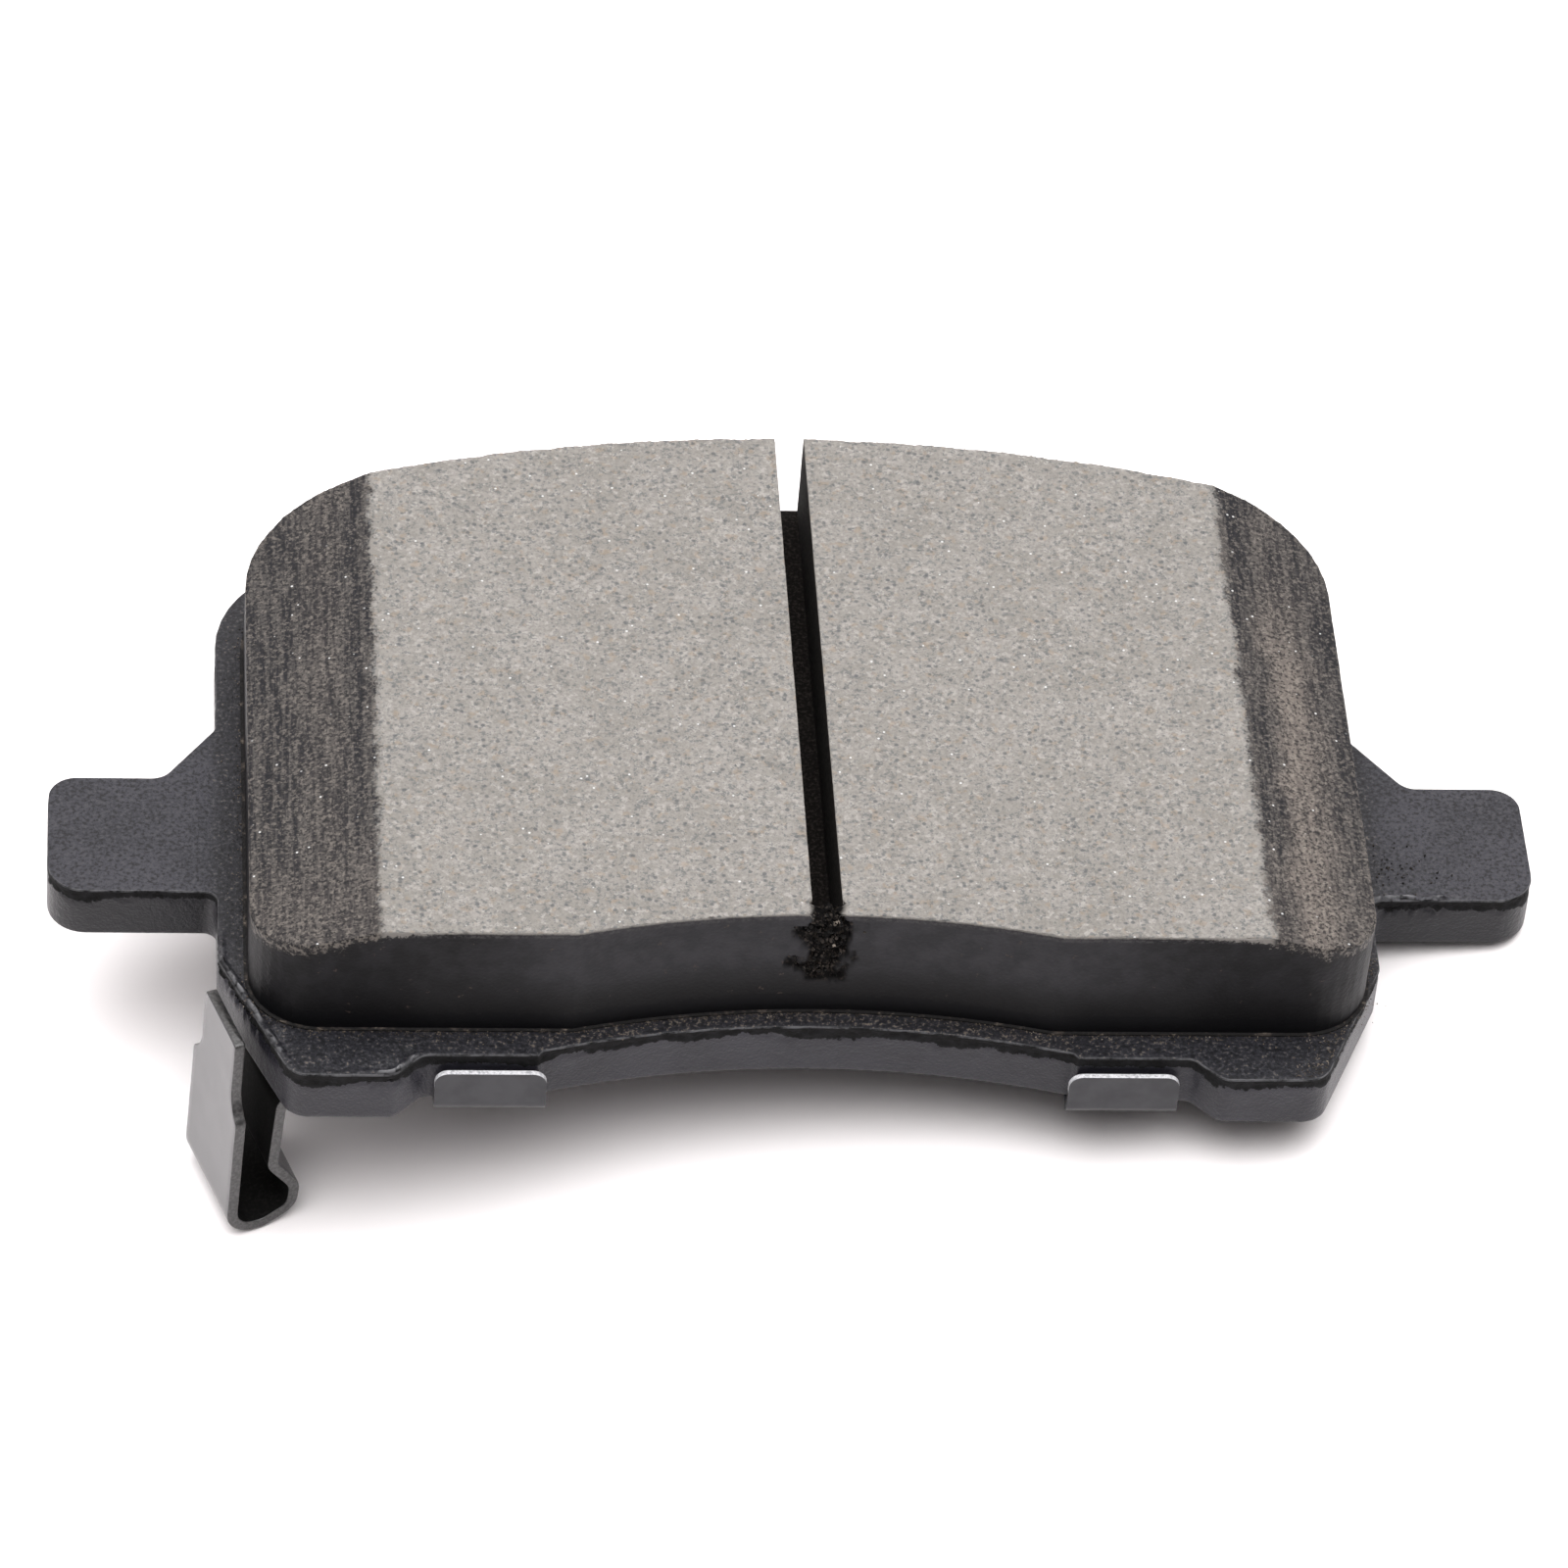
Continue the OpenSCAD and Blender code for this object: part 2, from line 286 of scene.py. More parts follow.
def ground_material():
    """Ground friction mix: light on the flat face, dark and streaked on the end chamfers, with a
    painted highlight on the right chamfer.
    """
    s = Shader("friction_mix_ground", Specular_IOR_Level=0.14)
    x, y, _ = s.position
    into_chamfer = s.minus(s.absolute(s.minus(x, GROUND_X)), FACE_HALF)
    blotch = s.noise(5, 4)
    fine = s.noise(0.35, 3, 0.7)
    tiny = s.noise(0.42, 3, 0.7)
    grain_edge, grain = s.cells(0.42)
    speck_edge, speck = s.cells(0.62)
    spark_edge, spark = s.cells(0.55)
    sparkle = s.times(s.ramp(spark, 0.965, 0.975), s.ramp(spark_edge, 0.26, 0.14))

    face = s.mix(s.ramp(blotch, 0.35, 0.65), (0.216, 0.204, 0.188), (0.247, 0.234, 0.219))
    face = s.mix(s.ramp(grain, 0.62, 0.95), face, (0.29, 0.276, 0.259))
    face = s.mix(s.times(s.ramp(fine, 0.6, 0.36), 0.6), face, (0.146, 0.138, 0.127))
    tint = s.noise(1.1, 2, 0.5)
    face = s.mix(s.times(s.ramp(tint, 0.58, 0.68), 0.5), face, (0.225, 0.178, 0.134))
    face = s.mix(s.times(s.ramp(tiny, 0.48, 0.38), 0.75), face, (0.104, 0.108, 0.11))
    dark_speck = s.times(s.ramp(speck, 0.2, 0.16), s.ramp(speck_edge, 0.45, 0.2))
    face = s.mix(s.times(dark_speck, 0.72), face, (0.074, 0.079, 0.084))

    streak = s.noise(0.5, 4, 0.6, s.stretched(1.0, 0.06, 1.0))
    from_edge = s.plus(into_chamfer, s.about_zero(blotch, 5 * MM))
    band = s.times(s.ramp(from_edge, 1.8 * MM, 4.2 * MM), s.ramp(from_edge, 9 * MM, 4.6 * MM))
    # Painted highlight: the pale streaked band (glow) is made far stronger on the right chamfer,
    # standing in for light falling on that side; it also grows a little towards the -Y edge.
    right_chamfer_highlight = s.times(s.ramp(x, 0.0, 1 * MM), s.ramp(y, 22 * MM, 4 * MM))
    low_end = s.times(s.ramp(y, -14 * MM, -27 * MM), 0.2)
    band = s.times(band, s.ramp(streak, 0.1, 0.55))
    glow = s.larger(s.times(band, s.blend(right_chamfer_highlight, 0.15, 0.95)), low_end)
    dark = s.mix(s.ramp(streak, 0.4, 0.6), (0.016, 0.0158, 0.0185), (0.062, 0.057, 0.0545))
    dark = s.mix(glow, dark, (0.138, 0.119, 0.106))
    pale = s.times(s.ramp(tiny, 0.47, 0.64), s.blend(glow, 0.45, 0.8))
    dark = s.mix(pale, dark, (0.2, 0.178, 0.158))
    dark = s.mix(s.times(s.ramp(fine, 0.52, 0.4), 0.85), dark, (0.014, 0.0138, 0.015))

    wander = s.about_zero(s.noise(3, 5, 0.65), 2.4 * MM)
    ragged = s.about_zero(fine, 2.7 * MM)
    boundary = s.plus(into_chamfer, s.plus(wander, ragged))
    color = s.mix(s.ramp(boundary, -0.3 * MM, 0.5 * MM), face, dark)
    color = s.mix(sparkle, color, (0.52, 0.52, 0.52))

    color, _ = torn_over(s, color, tiny)
    coarse = s.bump(grain_edge, 0.1, 0.5)
    return s.finish(color, 0.86, s.bump(fine, 0.09, 0.7, coarse))


def side_material():
    """Black moulded skin of the block's sides with a painted sheen and painted shade, raw mix in the
    slot, torn crumbs at the slot's end.
    """
    s = Shader("friction_mix_side", Specular_IOR_Level=0.14)
    x, y, z = s.position
    off_middle = s.absolute(s.minus(x, GROUND_X))
    into_chamfer = s.minus(off_middle, FACE_HALF)
    drop = s.times(s.larger(into_chamfer, 0.0), CHAMFER_SLOPE)
    depth = s.minus(s.minus(FACE_Z, z), drop)
    fine = s.noise(0.35, 3, 0.7)
    tiny = s.noise(0.42, 3, 0.7)
    grain_edge, grain = s.cells(0.42)

    cloud = s.ramp(s.noise(2.2, 4, 0.6), 0.35, 0.68)
    skin = s.mix(cloud, (0.0035, 0.0034, 0.0042), (0.0095, 0.0092, 0.011))
    # Painted reflection: the middle of the front wall is lightened to a sheen, standing in for the
    # bright surroundings it reflects.
    middle = s.times(s.ramp(off_middle, 34 * MM, 22 * MM), s.ramp(y, 0.0, -5 * MM))
    painted_sheen = s.times(middle, s.blend(cloud, 0.6, 1.0))
    skin = s.mix(painted_sheen, skin, (0.026, 0.0255, 0.029))
    # Painted shade: the skin darkens towards the foot, where the wall faces the dark plate.
    skin = s.mix(s.ramp(depth, 4.5 * MM, 9.5 * MM), skin, (0.0045, 0.0043, 0.005))
    brink = s.times(s.ramp(depth, 0.22 * MM, 0.42 * MM), s.ramp(depth, 0.85 * MM, 0.5 * MM))
    skin = s.mix(s.times(brink, s.ramp(tiny, 0.4, 0.6)), skin, (0.04, 0.038, 0.04))
    tan_dust = s.times(s.ramp(grain, 0.985, 0.99), s.ramp(fine, 0.54, 0.62))
    skin = s.mix(tan_dust, skin, (0.045, 0.034, 0.029))

    in_slot = s.times(s.ramp(off_middle, SLOT_HALF + 0.5 * MM, SLOT_HALF + 0.3 * MM),
                     s.ramp(y, SLOT_END_Y - 0.6 * MM, SLOT_END_Y - 0.2 * MM))
    raw = s.mix(s.ramp(fine, 0.45, 0.7), (0.006, 0.005, 0.0045), (0.03, 0.025, 0.022))
    skin = s.mix(in_slot, skin, raw)

    end = s.times(s.ramp(off_middle, 33 * MM, 44 * MM), s.ramp(y, -12 * MM, -22 * MM))
    chip_size = s.blend(end, 0.4 * MM, 6 * MM)
    chip = s.about_zero(s.noise(0.9, 5, 0.85), chip_size)
    frayed = s.minus(s.plus(depth, chip), s.times(end, 0.75 * MM))
    below = s.ramp(frayed, 0.06 * MM, 0.3 * MM)
    over = s.ramp(into_chamfer, -0.3 * MM, 0.5 * MM)
    grains = s.mix(s.ramp(tiny, 0.44, 0.6), (0.014, 0.0135, 0.014), (0.125, 0.111, 0.098))
    broken = s.mix(over, (0.17, 0.16, 0.148), grains)
    color = s.mix(below, broken, skin)

    color, torn = torn_over(s, color, tiny)
    rough = s.blend(s.larger(in_slot, torn), 0.5, 0.95)
    coarse = s.bump(grain_edge, 0.06, 0.4)
    return s.finish(color, rough, s.bump(fine, 0.07, 0.6, coarse))


def skin_material():
    """The black moulded skin by itself, for the underlayer."""
    s = Shader("underlayer_skin", Specular_IOR_Level=0.12)
    fine = s.noise(0.35, 3, 0.7)
    color = s.mix(s.noise(1.5, 5), (0.003, 0.003, 0.004), (0.006, 0.006, 0.007))
    color = s.mix(s.ramp(fine, 0.72, 0.84), color, (0.03, 0.024, 0.019))
    rough = s.blend(s.noise(2), 0.42, 0.62)
    return s.finish(color, rough, s.bump(fine, 0.06, 0.5))


def bond_material():
    s = Shader("cured_bond", Specular_IOR_Level=0.3)
    grain_edge, grain = s.cells(0.3)
    lumps = s.ramp(s.noise(1.2, 4, 0.65), 0.52, 0.66)
    color = s.mix(lumps, (0.006, 0.0055, 0.0055), (0.04, 0.033, 0.028))
    color = s.mix(s.times(s.ramp(grain, 0.8, 0.92), lumps), color, (0.12, 0.1, 0.082))
    return s.finish(color, 0.8, s.bump(grain_edge, 0.1, 0.8))


def paint_material():
    """Black coating: grainy on the plate's flats, rough at its rolled edge, smoother below, with
    painted shade on the ears' walls and painted highlights on the rim and burrs.
    """
    s = Shader("plate_paint", Specular_IOR_Level=0.3)
    x, y, z = s.position
    fine = s.noise(0.28, 3, 0.65)
    orange = s.noise(0.9, 2, 0.5)
    patch = s.noise(7, 4, 0.6)
    flat = s.ramp(s.absolute(s.normal[2]), 0.6, 0.85)
    wander = s.about_zero(s.noise(3.5, 6, 0.72), 3.2 * MM)
    below_edge = s.plus(s.minus(ROTOR_Z, z), wander)
    lip = s.ramp(below_edge, 1.35 * MM, 1.22 * MM)

    out_x = s.absolute(s.minus(x, BLOCK_X))
    ear = s.ramp(out_x, EAR_X, EAR_X + 2 * MM)
    tiny = s.noise(0.38, 3, 0.7)
    top = s.mix(s.ramp(patch, 0.35, 0.65), (0.018, 0.0178, 0.0235), (0.028, 0.0275, 0.0355))
    near_block = s.minus(1.0, ear)
    top = s.mix(s.times(near_block, 0.6), top, (0.004, 0.004, 0.0055))
    top = s.mix(s.times(s.ramp(tiny, 0.49, 0.4), 0.85), top, (0.002, 0.002, 0.003))
    top = s.mix(s.times(s.ramp(tiny, 0.53, 0.62), 0.75), top, (0.042, 0.041, 0.046))
    foot = s.times(s.ramp(y, -24 * MM, -27 * MM), s.ramp(out_x, 40 * MM, 12 * MM))
    dust = s.ramp(s.plus(tiny, s.times(foot, 0.07)), 0.62, 0.7)
    top = s.mix(s.times(dust, near_block), top, (0.105, 0.088, 0.073))
    wall = s.mix(s.ramp(patch, 0.3, 0.7), (0.014, 0.0135, 0.0185), (0.0225, 0.022, 0.029))
    wall = s.mix(s.ramp(fine, 0.68, 0.8), wall, (0.04, 0.039, 0.046))
    # Painted shade: the ears' walls are darkened, standing in for the shadowed floor they face.
    wall = s.mix(s.times(ear, 0.7), wall, (0.004, 0.004, 0.0055))
    rolled = s.mix(s.ramp(orange, 0.4, 0.65), (0.0012, 0.0012, 0.0014), (0.006, 0.006, 0.007))
    side = s.mix(lip, wall, rolled)
    color = s.mix(flat, side, top)
    # Along the rolled rim the paint is lightened: partly paint worn off the edge, partly a painted
    # highlight where light catches the rim.
    rim = s.attribute("rim")
    rim_wear_and_highlight = s.times(s.ramp(rim, 0.35, 0.8), s.ramp(s.noise(2.2, 5, 0.7), 0.36, 0.62))
    color = s.mix(s.times(rim_wear_and_highlight, 0.8), color, (0.115, 0.115, 0.122))
    # Painted highlight: the curled burrs' ridges are lightened where light catches them.
    burr_highlight = s.times(s.attribute("burr"), s.ramp(orange, 0.42, 0.56))
    color = s.mix(burr_highlight, color, (0.19, 0.19, 0.2))
    rough = s.blend(flat, s.blend(lip, 0.36, 0.95), s.blend(fine, 0.3, 0.62))
    soft = s.bump(orange, 0.12, 0.55)
    return s.finish(color, rough, s.bump(fine, 0.1, 0.8, soft))


def black_steel_material(name, roughness, bare_highlight_above=None, gloss=0.75):
    """Sheet steel with a thin dark coat, pitted on sheared edges, bare on edges cut after coating,
    where the pale bare steel is also a painted highlight.
    """
    s = Shader(name, Specular_IOR_Level=gloss)
    lines = s.noise(0.25, 3, 0.6, s.stretched(0.08, 1.0, 1.0))
    cloud = s.noise(4, 4, 0.6)
    pits = s.noise(0.3, 4, 0.7)
    color = s.mix(s.ramp(cloud, 0.35, 0.65), (0.026, 0.026, 0.03), (0.04, 0.04, 0.045))
    rough = s.blend(cloud, roughness - 0.05, roughness + 0.06)
    shear = s.attribute("sheared")
    edge = s.mix(s.ramp(pits, 0.44, 0.58), (0.004, 0.004, 0.004), (0.04, 0.038, 0.038))
    color = s.mix(shear, color, edge)
    rough = s.blend(shear, rough, 0.42)
    if bare_highlight_above is not None:
        # Painted highlight: the bare steel of the cut tab ends is a pale diffuse grey that stands in
        # for light catching those edges.
        edge_on = s.ramp(s.absolute(s.normal[1]), 0.8, 0.6)
        bare_edge_highlight = s.times(edge_on, s.ramp(s.position[2], bare_highlight_above, bare_highlight_above + 0.03 * MM))
        steel = s.mix(s.ramp(pits, 0.3, 0.6), (0.26, 0.26, 0.28), (0.62, 0.62, 0.64))
        color = s.mix(bare_edge_highlight, color, steel)
    return s.finish(color, rough, s.bump(lines, 0.012, 0.35))


def inner_shade_material():
    """Near-black, dull inner side of the strip: painted shade standing in for the shadow inside the
    loop.
    """
    s = Shader("spring_strip_inside", Specular_IOR_Level=0.08)
    fine = s.noise(0.3, 3, 0.6)
    color = s.mix(s.ramp(fine, 0.45, 0.7), (0.003, 0.003, 0.003), (0.009, 0.0085, 0.008))
    return s.finish(color, 0.7, s.bump(fine, 0.02, 0.4))


def rubber_material(name, low, high):
    s = Shader(name, Specular_IOR_Level=0.4)
    fine = s.noise(0.4, 4, 0.6)
    color = s.mix(s.ramp(s.noise(6, 4), 0.35, 0.65), low, high)
    color = s.mix(s.ramp(fine, 0.66, 0.8), color, tuple(2.2 * c for c in high))
    rough = s.blend(s.noise(3, 3), 0.5, 0.72)
    return s.finish(color, rough, s.bump(fine, 0.04, 0.5))


def crumb_material():
    """Grains of moulding compound: pale on the ledge, dark in the slot's end and on the ear."""
    s = Shader("moulding_crumbs", Specular_IOR_Level=0.3)
    _, grain = s.cells(0.5)
    above = s.ramp(s.position[2], BLOCK_Z, BLOCK_Z + 0.5 * MM)
    on_ear = s.ramp(s.position[0], BLOCK_X + EAR_X, BLOCK_X + EAR_X + 0.5 * MM)
    dark = s.mix(s.ramp(grain, 0.3, 1.0), (0.002, 0.0018, 0.0016), (0.036, 0.029, 0.024))
    color = s.mix(grain, (0.006, 0.0055, 0.005), (0.14, 0.115, 0.092))
    color = s.mix(s.larger(above, on_ear), color, dark)
    palest = s.times(s.ramp(grain, 0.95, 0.98), s.minus(1.0, on_ear))
    color = s.mix(palest, color, (0.26, 0.225, 0.19))
    return s.finish(color, 0.85, s.bump(s.noise(0.12), 0.03, 0.6))


def mark(mesh, name, values):
    attribute = mesh.attributes.new(name, "FLOAT", "POINT")
    attribute.data.foreach_set("value", np.asarray(values, dtype=np.float32))


# ---- plan outlines taken from the frame

GRID = 0.0001 * MM
EDGE_STEP = 0.06 * MM


def flat_loops(node, z):
    """Closed loops of (x, y) round the flat faces that a CAD node has at a height."""
    mesh = frame["nodes"][node].data
    count = {}
    for polygon in mesh.polygons:
        if abs(polygon.center.z - z) < 0.01 * MM and abs(polygon.normal.z) > 0.99:
            ring = [tuple(round(c / GRID) for c in mesh.vertices[i].co) for i in polygon.vertices]
            for a, b in zip(ring, ring[1:] + ring[:1]):
                if (b, a) in count:
                    del count[(b, a)]
                else:
                    count[(a, b)] = True
    follow = {a: b for a, b in count}
    loops = []
    while follow:
        start, here = follow.popitem()
        loop = [start]
        while here != start:
            loop.append(here)
            here = follow.pop(here)
        loops.append(np.array(loop)[:, :2] * GRID)
    return loops


def length_of(loop):
    return np.linalg.norm(np.roll(loop, -1, axis=0) - loop, axis=1).sum()


def area_of(loop):
    x, y = loop[:, 0], loop[:, 1]
    return 0.5 * (x * np.roll(y, -1) - np.roll(x, -1) * y).sum()


def outline_of(node, z):
    """The outer loop at a height, counterclockwise."""
    loop = max(flat_loops(node, z), key=length_of)
    return loop if area_of(loop) > 0 else loop[::-1]


def even_loop(loop, step):
    """The closed loop with points an even step apart."""
    closed = np.vstack([loop, loop[:1]])
    along = np.concatenate([[0], np.cumsum(np.linalg.norm(np.diff(closed, axis=0), axis=1))])
    places = np.linspace(0, along[-1], max(8, round(along[-1] / step)), endpoint=False)
    return np.column_stack([np.interp(places, along, closed[:, k]) for k in range(2)])


def outward(loop):
    """Outward normal at each point of a counterclockwise loop."""
    t = np.roll(loop, -1, axis=0) - np.roll(loop, 1, axis=0)
    t /= np.linalg.norm(t, axis=1)[:, None]
    return np.column_stack([t[:, 1], -t[:, 0]])


class EdgeFinder:
    """Distances from points to a closed loop."""

    def __init__(self, loop):
        dense = even_loop(loop, EDGE_STEP)
        self.tree = kdtree.KDTree(len(dense))
        for i, p in enumerate(dense):
            self.tree.insert((*p, 0), i)
        self.tree.balance()

    def distance(self, points):
        return np.array([self.tree.find((*p, 0))[2] for p in points])


def face_points(loop, insets, grid, seed, creases=()):
    """Points for a flat face inside a loop: rings close to its edge, then a jittered grid."""
    finder = EdgeFinder(loop)
    normals = outward(loop)
    chosen = []
    for inset in insets:
        ring = loop - normals * inset
        chosen.append(ring[finder.distance(ring) > 0.9 * inset])
    draw = np.random.default_rng(seed)
    low, high = loop.min(axis=0), loop.max(axis=0)
    xs, ys = np.meshgrid(np.arange(low[0], high[0], grid), np.arange(low[1], high[1], grid))
    cells = np.column_stack([xs.ravel(), ys.ravel()])
    cells += draw.uniform(-0.3, 0.3, cells.shape) * grid
    for x in creases:
        cells = cells[np.abs(cells[:, 0] - x) > 0.25 * grid]
        line_y = np.arange(low[1], high[1], grid)
        cells = np.vstack([cells, np.column_stack([np.full(len(line_y), x), line_y])])
    cells = cells[finder.distance(cells) > insets[-1] + 0.4 * grid]
    chosen.append(cells)
    return np.vstack(chosen)


def fill_face(loop, inner):
    """(points, triangles) of the area inside a loop; the loop's own points come first."""
    coords = [Vector(p) for p in np.vstack([loop, inner])]
    n = len(loop)
    edges = [(i, (i + 1) % n) for i in range(n)]
    points, _, triangles, *_ = geometry.delaunay_2d_cdt(coords, edges, [], 1, 1e-9)
    return np.array([tuple(p) for p in points]), [tuple(t) for t in triangles]


def wall_faces(columns, rows, closed=True):
    """Quads of a wall whose points run column by column along each row, top row first."""
    last = columns if closed else columns - 1
    faces = []
    for r in range(rows - 1):
        for c in range(last):
            k = (c + 1) % columns
            a, b = r * columns, (r + 1) * columns
            faces.append((a + c, b + c, b + k, a + k))
    return faces


def weld(obj):
    """Joins points that touch and turns every face outwards."""
    work = bmesh.new()
    work.from_mesh(obj.data)
    bmesh.ops.remove_doubles(work, verts=work.verts, dist=0.002 * MM)
    bmesh.ops.recalc_face_normals(work, faces=work.faces)
    loose = [v for v in work.verts if not v.link_faces]
    bmesh.ops.delete(work, geom=loose, context="VERTS")
    work.to_mesh(obj.data)
    work.free()


def crisp(obj, angle):
    """Smooth shading with sharp edges above an angle in degrees."""
    shade(obj)
    obj.data.set_sharp_from_angle(angle=math.radians(angle))


# ---- friction block

GROUND, SIDE = 0, 1
BLOCK_STEP = 0.2 * MM
RIM_DEPTHS = [0, 0.07, 0.15, 0.25, 0.38, 0.55, 0.8, 1.1]


def ground_z(x):
    """Height of the ground surface of the block."""
    drop = np.maximum(np.abs(x - GROUND_X) - FACE_HALF, 0) * CHAMFER_SLOPE
    return FACE_Z - drop


def slotted(outline):
    """The block's outline with the slot cut in from its outer edge."""
    low_x, high_x = GROUND_X - SLOT_HALF, GROUND_X + SLOT_HALF
    upper = (outline[:, 1] > 0) & (outline[:, 0] > low_x) & (outline[:, 0] < high_x)
    first = np.argmax(upper & ~np.roll(upper, 1))
    turned = np.roll(outline, -first, axis=0)
    kept = turned[upper.sum():]
    mouth_y = turned[:upper.sum(), 1].mean()
    notch = np.array([(high_x, mouth_y), (high_x, SLOT_END_Y), (low_x, SLOT_END_Y), (low_x, mouth_y)])
    return np.vstack([notch, kept])


def crumble(co, depth, normals, chip, rough):
    """Breaks the edge: points closer to it than the chip's size go in and down."""
    reach = np.maximum(chip - depth, 0)
    loose = 1 + 0.9 * rough
    move = np.column_stack([-normals * 0.62, np.full(len(co), -0.62)])
    return co + move * (reach * loose)[:, None]


def block_wall(loop):
    """(points, depths) of the block's wall: rows of points from the ground edge down."""
    near_slot = np.abs(loop[:, 0] - GROUND_X) < SLOT_HALF + 0.02 * MM
    in_slot = near_slot & (loop[:, 1] > SLOT_END_Y - 0.02 * MM)
    base = np.where(in_slot, SLOT_FLOOR_Z, WALL_FOOT_Z)
    top = ground_z(loop[:, 0])
    depths = np.array(RIM_DEPTHS + list(np.linspace(1.5, 10, 22))) * MM
    rows = []
    for d, s in zip(depths, depths / depths[-1]):
        fixed = top - d
        spread = top + (base - top) * s
        rows.append(np.column_stack([loop, fixed * (1 - s**2) + spread * s**2]))
    return np.vstack(rows), depths


def block_moulding():
    """The block as a wall and a ground top, with crumbled edges and the torn end of the slot."""
    outline = even_loop(outline_of("friction_block", BLOCK_Z), BLOCK_STEP)
    loop = even_loop(slotted(outline), BLOCK_STEP)
    wall, depths = block_wall(loop)
    insets = np.array([0.1, 0.22, 0.4, 0.7, 1.1]) * MM
    creases = (GROUND_X - FACE_HALF, GROUND_X + FACE_HALF)
    flat, triangles = fill_face(loop, face_points(loop, insets, 0.8 * MM, SEED, creases))
    finder = EdgeFinder(loop)
    nearest = [finder.tree.find((*p, 0))[1] for p in flat]
    face_normals = outward(even_loop(loop, EDGE_STEP))[nearest]
    face = np.column_stack([flat, ground_z(flat[:, 0])])

    points = np.vstack([wall, face])
    depth = np.concatenate([np.repeat(depths, len(loop)), finder.distance(flat)])
    sideways = np.vstack([np.tile(outward(loop), (len(depths), 1)), face_normals])
    coarse = field(points * [1, 1, 0.4], 2.6, 3, 1)
    rough = field(points, 0.45, 2, 2)
    chip = (0.09 + 0.16 * np.clip(coarse + 0.15, 0, 1) + 0.05 * rough) * MM
    chip *= np.where(np.abs(points[:, 0] - GROUND_X) < SLOT_HALF + 1.2 * MM, 0.45, 1.0)
    moved = crumble(points, depth, sideways, chip, rough)
    swell = 0.015 * MM * field(points, 4, 2, 3)
    grain = 0.012 * MM * rough
    on_wall = np.arange(len(points)) < len(wall)
    on_top = ~on_wall
    moved[on_wall, :2] += sideways[on_wall] * (swell + grain)[on_wall][:, None]
    moved[on_top, 2] += (grain[on_top] - 0.016 * MM) * np.clip(depth[on_top] / (0.3 * MM), 0, 1)

    torn = torn_patch(points)
    pits = (0.3 + 0.75 * np.clip(field(points, 0.7, 3, 4), -0.35, 1)) * MM * torn
    moved[on_wall, :2] -= sideways[on_wall] * pits[on_wall][:, None]
    moved[on_top, 2] -= 1.3 * pits[on_top]

    faces = wall_faces(len(loop), len(depths))
    faces += [tuple(len(wall) + i for i in t) for t in triangles]
    obj = new_object("friction_block_moulding", moved, faces)
    mark(obj.data, "torn", torn)
    slots = [SIDE] * (len(faces) - len(triangles)) + [GROUND] * len(triangles)
    obj.data.polygons.foreach_set("material_index", slots)
    return obj


def torn_patch(points):
    """1 where the wall that closes the slot has broken away, on its top and down its front."""
    across = np.abs(points[:, 0] - GROUND_X) / (2.3 * MM)
    down = (FACE_Z - points[:, 2]) / (8.2 * MM)
    front = np.clip((SLOT_END_Y + 0.3 * MM - points[:, 1]) / (0.25 * MM), 0, 1)
    wander = field(points, 2.0, 3, 5)
    waist = 1.15 - across - 0.35 * np.abs(down - 0.55) + 0.9 * wander
    waist[down < 0.1] = 1.15 - 1.5 * across[down < 0.1] + 0.3 * wander[down < 0.1]
    return np.clip(3 * waist, 0, 1) * front * (down < 1.05)


def slot_floor_and_mouth():
    """Floor of the slot, and the foot of the outer wall below its open end."""
    mouth_y = outline_of("friction_block", BLOCK_Z)[:, 1].max() - 0.02 * MM
    xs = np.linspace(GROUND_X - SLOT_HALF, GROUND_X + SLOT_HALF, 12)
    ys = np.linspace(SLOT_END_Y, mouth_y, 200)
    zs = np.linspace(SLOT_FLOOR_Z + 0.03 * MM, WALL_FOOT_Z, 6)
    gx, gy = np.meshgrid(xs, ys)
    floor_points = np.column_stack([gx.ravel(), gy.ravel(), np.full(gx.size, SLOT_FLOOR_Z)])
    floor_points[:, 2] += 0.05 * MM * field(floor_points, 0.7, 2, 6)
    vertices = [tuple(p) for p in floor_points] + [(x, mouth_y, z) for z in zs for x in xs]
    faces = wall_faces(len(xs), len(ys), closed=False)
    faces += [tuple(gx.size + i for i in f) for f in wall_faces(len(xs), len(zs), closed=False)]
    obj = new_object("slot_floor", vertices, faces)
    mark(obj.data, "torn", np.zeros(len(vertices)))
    obj.data.polygons.foreach_set("material_index", [SIDE] * len(faces))
    return obj


def joined(name, *objs):
    """One object from several that share the same attributes."""
    work = bmesh.new()
    for obj in objs:
        work.from_mesh(obj.data)
    mesh = bpy.data.meshes.new(name)
    work.to_mesh(mesh)
    work.free()
    for obj in objs:
        bpy.data.objects.remove(obj)
    return link(name, mesh)


def friction_block():
    obj = joined("friction_block_moulding", block_moulding(), slot_floor_and_mouth())
    weld(obj)
    crisp(obj, 50)
    obj.data.materials.append(ground_material())
    obj.data.materials.append(side_material())
    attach(obj, "pad")
    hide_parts("friction_block")


# ---- backing plate

# (middle, radius, height against the highest) of each place where the rim is curled up
BURRS = (
    (Vector((-50.5, -26.5)) * MM, 7 * MM, 1.0),
    (Vector((-37.5, -34.5)) * MM, 2.6 * MM, 0.8),
    (Vector((57.0, -12.8)) * MM, 3.6 * MM, 0.9),
)
PLATE_STEP = 0.22 * MM
PLATE_DEPTHS = np.array((
    0, 0.06, 0.14, 0.24, 0.36, 0.5, 0.66, 0.84, 1.04, 1.26,
    1.5, 1.8, 2.4, 3.2, 4.0, 4.6, 5.0, 5.25, 5.4, 5.5,
))
ROLL_R = 0.28 * MM


